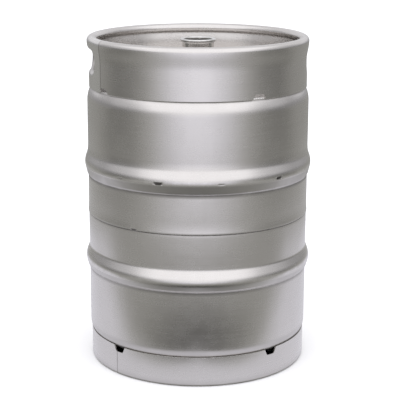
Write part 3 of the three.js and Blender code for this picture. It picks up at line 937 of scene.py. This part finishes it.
class Surface(NodeTree):
    """A node material under construction."""

    def __init__(self, name, metallic, roughness):
        self.material = bpy.data.materials.new(name)
        self.material.use_nodes = True
        super().__init__(self.material.node_tree)
        self.shader = self.tree.nodes["Principled BSDF"]
        self.shader.inputs["Metallic"].default_value = metallic
        self.shader.inputs["Roughness"].default_value = roughness
        self.place = self.add("ShaderNodeTexCoord").outputs["Object"]

    def stretched(self, scale, turn=(0, 0, 0)):
        made = self.add("ShaderNodeMapping")
        self.feed(made.inputs["Vector"], self.place)
        made.inputs["Scale"].default_value = scale
        made.inputs["Rotation"].default_value = [rad(a) for a in turn]
        return made.outputs["Vector"]

    def speckle(self, scale, detail=3.0, rough=0.55, vector=None):
        made = self.add("ShaderNodeTexNoise")
        self.feed(made.inputs["Vector"], vector or self.place)
        made.inputs["Scale"].default_value = scale
        made.inputs["Detail"].default_value = detail
        made.inputs["Roughness"].default_value = rough
        return made.outputs["Fac"]

    def mixed(self, share, first, second):
        made = self.add("ShaderNodeMix", data_type="RGBA")
        self.feed(made.inputs["Factor"], share)
        self.feed(made.inputs[6], first)
        self.feed(made.inputs[7], second)
        return made.outputs[2]

    def painted(self, name):
        return self.add("ShaderNodeAttribute", attribute_name=name).outputs["Fac"]

    def bumped(self, height, distance, before=None):
        made = self.add("ShaderNodeBump")
        made.inputs["Distance"].default_value = distance
        self.feed(made.inputs["Height"], height)
        if before:
            self.feed(made.inputs["Normal"], before)
        return made.outputs["Normal"]

    def finish(self, colour, roughness, normal):
        self.feed(self.shader.inputs["Base Color"], colour)
        self.feed(self.shader.inputs["Roughness"], roughness)
        self.feed(self.shader.inputs["Normal"], normal)
        return self.material


# ---- the finishes
# A pair holds the darkest and the lightest colour of a finish.
SHEET_COLOURS = ((0.606, 0.584, 0.562, 1), (0.646, 0.624, 0.602, 1))
WORN_COLOUR = (0.735, 0.715, 0.70, 1)
SCRATCH_COLOUR = (0.45, 0.44, 0.42, 1)
# Dirt and painted shade: the darkest colour they bring.
DIRT_AND_SHADE_COLOUR = (0.060, 0.055, 0.048, 1)
# A painted highlight: the paler colour beside the top chime's seam.
PAINTED_HIGHLIGHT_COLOUR = (0.80, 0.79, 0.77, 1)
TURNED_COLOURS = ((0.60, 0.59, 0.57, 1), (0.70, 0.69, 0.67, 1))
TOOL_MARK_COLOUR = (0.42, 0.41, 0.39, 1)
WIRE_COLOURS = ((0.34, 0.33, 0.32, 1), (0.46, 0.45, 0.43, 1))
BALL_COLOURS = ((0.66, 0.66, 0.65, 1), (0.74, 0.74, 0.73, 1))
RUBBER_COLOURS = ((0.016, 0.016, 0.017, 1), (0.050, 0.048, 0.045, 1))
PLASTIC_COLOURS = ((0.62, 0.61, 0.57, 1), (0.72, 0.71, 0.68, 1))
FLOOR_COLOURS = ((0.86, 0.86, 0.86, 1), (0.88, 0.88, 0.88, 1))
WEAR_REACH = 0.007  # above and below a hoop's crest


def hoop_wear(steel, blotches):
    """Patchy wear along the crests of both hoops."""
    height = steel.axes(steel.place)[2]
    upper, lower = (
        steel.between(steel.maths("ABSOLUTE", steel.minus(height, crest)), 0.0, WEAR_REACH, 1.0, 0.0)
        for crest in (UPPER_HOOP_Z, LOWER_HOOP_Z)
    )
    return steel.times(steel.maths("MAXIMUM", upper, lower), steel.between(blotches, 0.42, 0.60))


def scratches(steel):
    long_marks = steel.speckle(1.0, 2, 0.4, steel.stretched((30, 30, 900), (7, 4, 0)))
    short_marks = steel.speckle(1.0, 2, 0.4, steel.stretched((500, 500, 30), (0, 25, 10)))
    either = steel.maths(
        "MAXIMUM",
        steel.between(long_marks, 0.70, 0.74),
        steel.between(short_marks, 0.72, 0.76),
    )
    return steel.times(either, 0.16)


def satin_steel():
    """Pickled and brushed stainless sheet, worn bright on the hoops, with dirt and painted shade darkening
    and dulling its creases, slits, seams and edges.
    """
    steel = Surface("satin_steel", 1.0, 0.3)
    broad = steel.speckle(7, 4)
    streaks = steel.speckle(1.0, 4, 0.6, steel.stretched((6, 6, 700)))
    stains = steel.speckle(1.0, 3, 0.5, steel.stretched((70, 70, 5)))
    grain = steel.speckle(1400, 2)
    blotches = steel.speckle(32, 5, 0.6)
    worn = hoop_wear(steel, blotches)
    scored = scratches(steel)
    # Dirt and painted shade stored on the points: darker colour and more roughness.
    soil_and_shade = steel.times(steel.painted("soil_and_shade"), steel.between(blotches, 0.2, 0.55, 0.6, 1.0))

    tone = steel.plus(steel.times(broad, 0.5), steel.times(streaks, 0.35))
    tone = steel.plus(tone, steel.times(stains, 0.15))
    colour = steel.mixed(steel.between(tone, 0.36, 0.66), *SHEET_COLOURS)
    colour = steel.mixed(steel.times(worn, 0.55), colour, WORN_COLOUR)
    colour = steel.mixed(scored, colour, SCRATCH_COLOUR)
    # Dirt and painted shade darken the colour.
    colour = steel.mixed(soil_and_shade, colour, DIRT_AND_SHADE_COLOUR)
    # A painted highlight: paler beside the top chime's seam.
    colour = steel.mixed(steel.painted("painted_highlight"), colour, PAINTED_HIGHLIGHT_COLOUR)

    dullness = steel.plus(steel.times(blotches, 0.6), steel.times(streaks, 0.4))
    roughness = steel.between(dullness, 0.35, 0.65, 0.245, 0.285)
    roughness = steel.minus(roughness, steel.times(worn, 0.06))
    roughness = steel.plus(roughness, steel.times(soil_and_shade, 0.30))

    relief = steel.minus(steel.plus(grain, steel.times(streaks, 0.3)), scored)
    waves = steel.bumped(steel.speckle(14, 2), 0.0003)
    return steel.finish(colour, roughness, steel.bumped(relief, 0.000003, waves))


def machined_steel():
    """Turned stainless: fine rings round the axis, brighter than the sheet."""
    steel = Surface("machined_steel", 1.0, 0.2)
    x, y, z = steel.axes(steel.place)
    flat = steel.add("ShaderNodeCombineXYZ")
    steel.feed(flat.inputs[0], x)
    steel.feed(flat.inputs[1], y)
    reach = steel.add("ShaderNodeVectorMath", operation="LENGTH")
    steel.feed(reach.inputs[0], flat.outputs[0])
    across = steel.add("ShaderNodeCombineXYZ")
    steel.feed(across.inputs[0], reach.outputs["Value"])
    steel.feed(across.inputs[2], z)
    rings = steel.speckle(3200, 2, 0.5, across.outputs[0])
    colour = steel.mixed(steel.between(steel.speckle(120, 4), 0.3, 0.7), *TURNED_COLOURS)
    colour = steel.mixed(steel.between(rings, 0.55, 0.8, 0.0, 0.25), colour, TOOL_MARK_COLOUR)
    roughness = steel.between(steel.speckle(220, 3), 0.3, 0.7, 0.08, 0.15)
    return steel.finish(colour, roughness, steel.bumped(rings, 0.00004))


def spring_steel():
    steel = Surface("spring_steel", 1.0, 0.3)
    drawn = steel.speckle(900, 3)
    colour = steel.mixed(steel.between(drawn, 0.35, 0.65), *WIRE_COLOURS)
    roughness = steel.between(steel.speckle(400, 3), 0.3, 0.7, 0.24, 0.36)
    return steel.finish(colour, roughness, steel.bumped(drawn, 0.00003))


def polished_steel():
    steel = Surface("polished_steel", 1.0, 0.08)
    haze = steel.speckle(300, 3)
    colour = steel.mixed(steel.between(haze, 0.3, 0.7), *BALL_COLOURS)
    roughness = steel.between(haze, 0.3, 0.7, 0.06, 0.12)
    return steel.finish(colour, roughness, steel.bumped(steel.speckle(1500, 2), 0.000004))


def black_rubber():
    rubber = Surface("black_rubber", 0.0, 0.55)
    dust = rubber.speckle(260, 4)
    colour = rubber.mixed(rubber.between(dust, 0.45, 0.75), *RUBBER_COLOURS)
    roughness = rubber.between(rubber.speckle(900, 3), 0.3, 0.7, 0.45, 0.65)
    return rubber.finish(colour, roughness, rubber.bumped(rubber.speckle(2200, 2), 0.00003))


def cage_plastic():
    plastic = Surface("cage_plastic", 0.0, 0.4)
    flow = plastic.speckle(140, 3)
    colour = plastic.mixed(plastic.between(flow, 0.3, 0.7), *PLASTIC_COLOURS)
    roughness = plastic.between(plastic.speckle(500, 3), 0.3, 0.7, 0.35, 0.50)
    return plastic.finish(colour, roughness, plastic.bumped(plastic.speckle(1800, 2), 0.00002))


# ---- dirt, painted shade and a painted highlight, stored on the points
def paint(piece, name, amount):
    """Stores amount(angle, radius, z) on every point of a piece."""
    mesh = piece.data
    layer = mesh.attributes.new(name, "FLOAT", "POINT")
    for vert in mesh.vertices:
        x, y, z = vert.co
        layer.data[vert.index].value = amount(math.degrees(math.atan2(x, -y)), math.hypot(x, y), z)


# Painted shade: dark lines round the shells at the creases, the waist and the chimes' edges: height, strength
# and reach.
SHADE_LINES = (
    (UPPER_CREASE_Z, 0.45, 0.0009),
    (LOWER_CREASE_Z, 0.45, 0.0009),
    (GIRTH_Z, 0.8, 0.0010),
    (CHIME_EDGE_Z, 0.6, 0.0022),
    (FOOT_EDGE_Z, 0.5, 0.0020),
)
# Painted shade: dark, duller bands under the hoops and above the foot weld: strength, lower edge, upper edge
# and fade.
SHADE_BANDS = (
    (0.24, UPPER_CREASE_Z + 0.001, UPPER_CREASE_Z + 0.018, 0.003),
    (0.16, LOWER_CREASE_Z + 0.005, LOWER_CREASE_Z + 0.014, 0.003),
    (0.16, 0.0, FOOT_EDGE_Z + 0.018, 0.008),
)
SLIT_FULLY_SHADED = 0.0011  # a slit this deep is painted fully dark, as painted shade


# Painted shade on the shells: dark in the slits, in lines at the creases, waist and chime edges, and in bands
# under the hoops and above the foot weld.
def shell_shade(angle, r, z):
    soil_and_shade = slit_depth(angle, r, z) / SLIT_FULLY_SHADED
    for height, strength, reach in SHADE_LINES:
        soil_and_shade += strength * bell(z, height, reach)
    for strength, low, high, fade in SHADE_BANDS:
        soil_and_shade += strength * band(z, low, high, fade)
    return min(soil_and_shade, 1.0)


# Dirt and painted shade along the chimes' seams; darker round the hand holes' lips and towards the foot's
# bottom.
SEAM_DIRT_AND_SHADE = 0.5
SEAM_DIRT_AND_SHADE_REACH = 0.0009
LIP_DARKENING = 0.35
FOOT_BOTTOM_DARKENING = 0.35


def seam_dirt_and_shade(angle, seam, radius):
    return SEAM_DIRT_AND_SHADE * bell(rad(angle_between(angle, seam)) * radius, 0.0, SEAM_DIRT_AND_SHADE_REACH)


# Dirt and painted shade along the seam, and darker round the hand holes' lips.
def chime_dirt_and_shade(angle, r, z):
    lip = 0.0
    straight = HAND_HOLE_HALF_WIDTH - HAND_HOLE_HALF_HEIGHT
    for hole in HAND_HOLES:
        across = max(abs(rad(angle_between(angle, hole))) * r - straight, 0.0)
        away = math.hypot(across, z - HAND_HOLE_Z)
        lip = max(lip, LIP_DARKENING * (1 - smoothstep(0.018, 0.024, away)))
    return min(seam_dirt_and_shade(angle, CHIME_SEAM, CHIME_RADIUS) + lip, 1.0)


def chime_painted_highlight(angle, r, z):
    """Painted highlight: the strip is painted paler beside its seam."""
    away = angle_between(angle, CHIME_SEAM)
    return 0.5 * smoothstep(-0.3, -0.8, away) * smoothstep(-26, -9, away)


# Dirt and painted shade along the seam, and darker towards the bottom.
def foot_dirt_and_shade(angle, r, z):
    low = FOOT_BOTTOM_DARKENING * (1 - smoothstep(0.0, 0.010, z))
    return min(seam_dirt_and_shade(angle, FOOT_SEAM, FOOT_RADIUS) + low, 1.0)


# ---- the keg
satin = satin_steel()
machined = machined_steel()
sprung = spring_steel()
rubber = black_rubber()

upper = upper_shell(satin)
lower = lower_shell(satin)
chime = top_chime(satin)
foot = bottom_chime(satin)
# Dirt and painted shade on the shells and chimes, and a painted highlight beside the top chime's seam.
paint(upper, "soil_and_shade", shell_shade)
paint(lower, "soil_and_shade", shell_shade)
paint(chime, "soil_and_shade", chime_dirt_and_shade)
paint(chime, "painted_highlight", chime_painted_highlight)
paint(foot, "soil_and_shade", foot_dirt_and_shade)

neck_piece(machined)
body_seal(rubber)
valve_body(machined)
retaining_ring(sprung)
spring_basket(machined)
safety_clip(sprung)
gas_valve_seal(rubber)
tube_head(machined)
ball_cage(cage_plastic())
down_tube(machined)
check_ball(polished_steel())
valve_springs(sprung)

for name, radius, z, thick, ripple in (
    ("girth_weld", 0.1978, GIRTH_Z - 0.0001, 0.0006, 0.00006),
    ("chime_weld", 0.1915, CHIME_EDGE_Z + 0.0005, 0.0022, 0.00015),
    ("foot_weld", 0.1922, FOOT_EDGE_Z + 0.0006, 0.0020, 0.00015),
    ("neck_weld", 0.0292, DOME_TOP_Z - 0.0002, 0.0016, 0.00012),
):
    weld_bead(name, radius, z, thick, satin, ripple)


# ---- the studio
STAGE_HALF_SIZE = 8.0
MIRROR_SINK = 0.002  # the mirrored floor lies this far under the seen one


def stage_plane(name, z, material):
    far = STAGE_HALF_SIZE
    mesh = bpy.data.meshes.new(name)
    mesh.from_pydata([(-far, -far, z), (far, -far, z), (far, far, z), (-far, far, z)], [], [(0, 1, 2, 3)])
    mesh.materials.append(material)
    plane = bpy.data.objects.new(name, mesh)
    bpy.context.scene.collection.objects.link(plane)
    return plane


def floor_material():
    floor = Surface("studio_floor", 0.0, 0.9)
    tint = floor.speckle(3, 2)
    colour = floor.mixed(tint, *FLOOR_COLOURS)
    floor.shader.inputs["Specular IOR Level"].default_value = 0.0
    return floor.finish(colour, 0.9, floor.bumped(tint, 0.0001))


TABLE_LIGHT = 0.86
UNDER_KEG = (0.188, 0.202)  # the floor is dark inside these radii, where the keg stands


def unlit_floor(floor, depth, reach):
    """The floor past the table: dark just before it and lit behind the camera, dimmer at the sides."""
    facing = floor.maths("DIVIDE", floor.times(depth, -1.0), reach)
    ahead = floor.maths("POWER", floor.maths("MAXIMUM", facing, 0.0), 3.2)
    front = floor.plus(
        floor.between(reach, 0.50, 0.63, 0.08, 0.30),
        floor.between(reach, 0.80, 1.25, 0.0, 0.41),
    )
    front = floor.plus(front, floor.between(reach, 1.25, 2.8, 0.0, 0.52))
    side = floor.plus(floor.between(reach, 1.2, 2.4, 0.42, 0.22), floor.between(depth, 0.2, 1.5, 0.0, 0.16))
    return floor.blend(ahead, side, front)


def lit_table(floor, across, depth, reach):
    """1 on the table that the keg stands on; its front edge runs back towards the sides."""
    aside = floor.maths("ABSOLUTE", across)
    edge = floor.between(aside, 0.22, 0.62, 0.36, 0.44)
    past_edge = floor.minus(floor.plus(depth, edge), floor.times(aside, 0.5))
    softness = floor.plus(floor.times(aside, 0.20), 0.03)
    table = floor.between(floor.maths("DIVIDE", past_edge, softness), -1.0, 1.0)
    return floor.times(table, floor.between(reach, 0.80, 1.25, 1.0, 0.0))


def mirrored_floor_material():
    """What the steel mirrors: a lit table and the floor past it."""
    floor = Surface("mirrored_floor", 0.0, 1.0)
    across, depth = floor.axes(floor.place)[:2]
    reach = floor.maths("SQRT", floor.plus(floor.times(across, across), floor.times(depth, depth)))
    beyond = unlit_floor(floor, depth, reach)
    table = lit_table(floor, across, depth, reach)
    level = floor.times(floor.blend(table, beyond, TABLE_LIGHT), floor.between(reach, *UNDER_KEG))
    glow = floor.add("ShaderNodeEmission")
    floor.feed(glow.inputs["Strength"], level)
    tint = floor.mixed(floor.between(level, 0.2, 1.0), (1.0, 1.0, 0.94, 1), (1.0, 1.0, 1.10, 1))
    floor.feed(glow.inputs["Color"], tint)
    floor.tree.links.new(glow.outputs[0], floor.tree.nodes["Material Output"].inputs["Surface"])
    return floor.material


def studio_world():
    """Soft walls and ceiling: brightest in front and above, dimmer to the sides."""
    world = bpy.data.worlds.new("studio")
    world.use_nodes = True
    room = NodeTree(world.node_tree)
    x, y, z = room.axes(room.add("ShaderNodeTexCoord").outputs["Generated"])
    forward = room.maths("MAXIMUM", room.times(y, -1.0), 0.0)
    behind = room.maths("MAXIMUM", y, 0.0)
    walls = room.plus(0.25, room.times(room.maths("POWER", forward, 2.5), 0.95))
    walls = room.plus(walls, room.times(behind, 0.20))
    ceiling = room.between(room.maths("ABSOLUTE", x), 0.70, 0.95, 1.42, 0.70)
    ceiling = room.times(ceiling, room.between(y, -0.1, 0.5, 1.0, 0.62))
    light = room.blend(room.between(z, 0.02, 0.16), walls, ceiling)
    seen = room.add("ShaderNodeLightPath").outputs["Is Camera Ray"]
    backdrop = world.node_tree.nodes["Background"]
    room.feed(backdrop.inputs["Strength"], room.blend(seen, light, 1.0))
    backdrop.inputs["Color"].default_value = (1, 1, 1.04, 1)
    bpy.context.scene.world = world


def studio():
    floor = stage_plane("studio_floor", 0.0, floor_material())
    floor.visible_glossy = False
    mirrored = stage_plane("mirrored_floor", -MIRROR_SINK, mirrored_floor_material())
    mirrored.visible_camera = False
    mirrored.visible_diffuse = False
    mirrored.visible_shadow = False
    mirrored.visible_transmission = False
    studio_world()
    wash = bpy.data.lights.new("floor_wash", "SUN")
    wash.energy = 1.2
    wash.angle = rad(60)
    lamp = bpy.data.objects.new("floor_wash", wash)
    lamp.visible_glossy = False
    bpy.context.scene.collection.objects.link(lamp)


def camera():
    lens = bpy.data.cameras.new("camera")
    lens.lens = 114.9
    lens.sensor_width = 36
    lens.shift_x = 0.0041
    lens.clip_start = 0.05
    eye = bpy.data.objects.new("camera", lens)
    eye.location = (0, -2.281, 0.851)
    eye.rotation_euler = (rad(76.125), rad(-0.13), 0)
    bpy.context.scene.collection.objects.link(eye)
    bpy.context.scene.camera = eye


studio()
camera()
bpy.context.scene.view_settings.view_transform = "Standard"
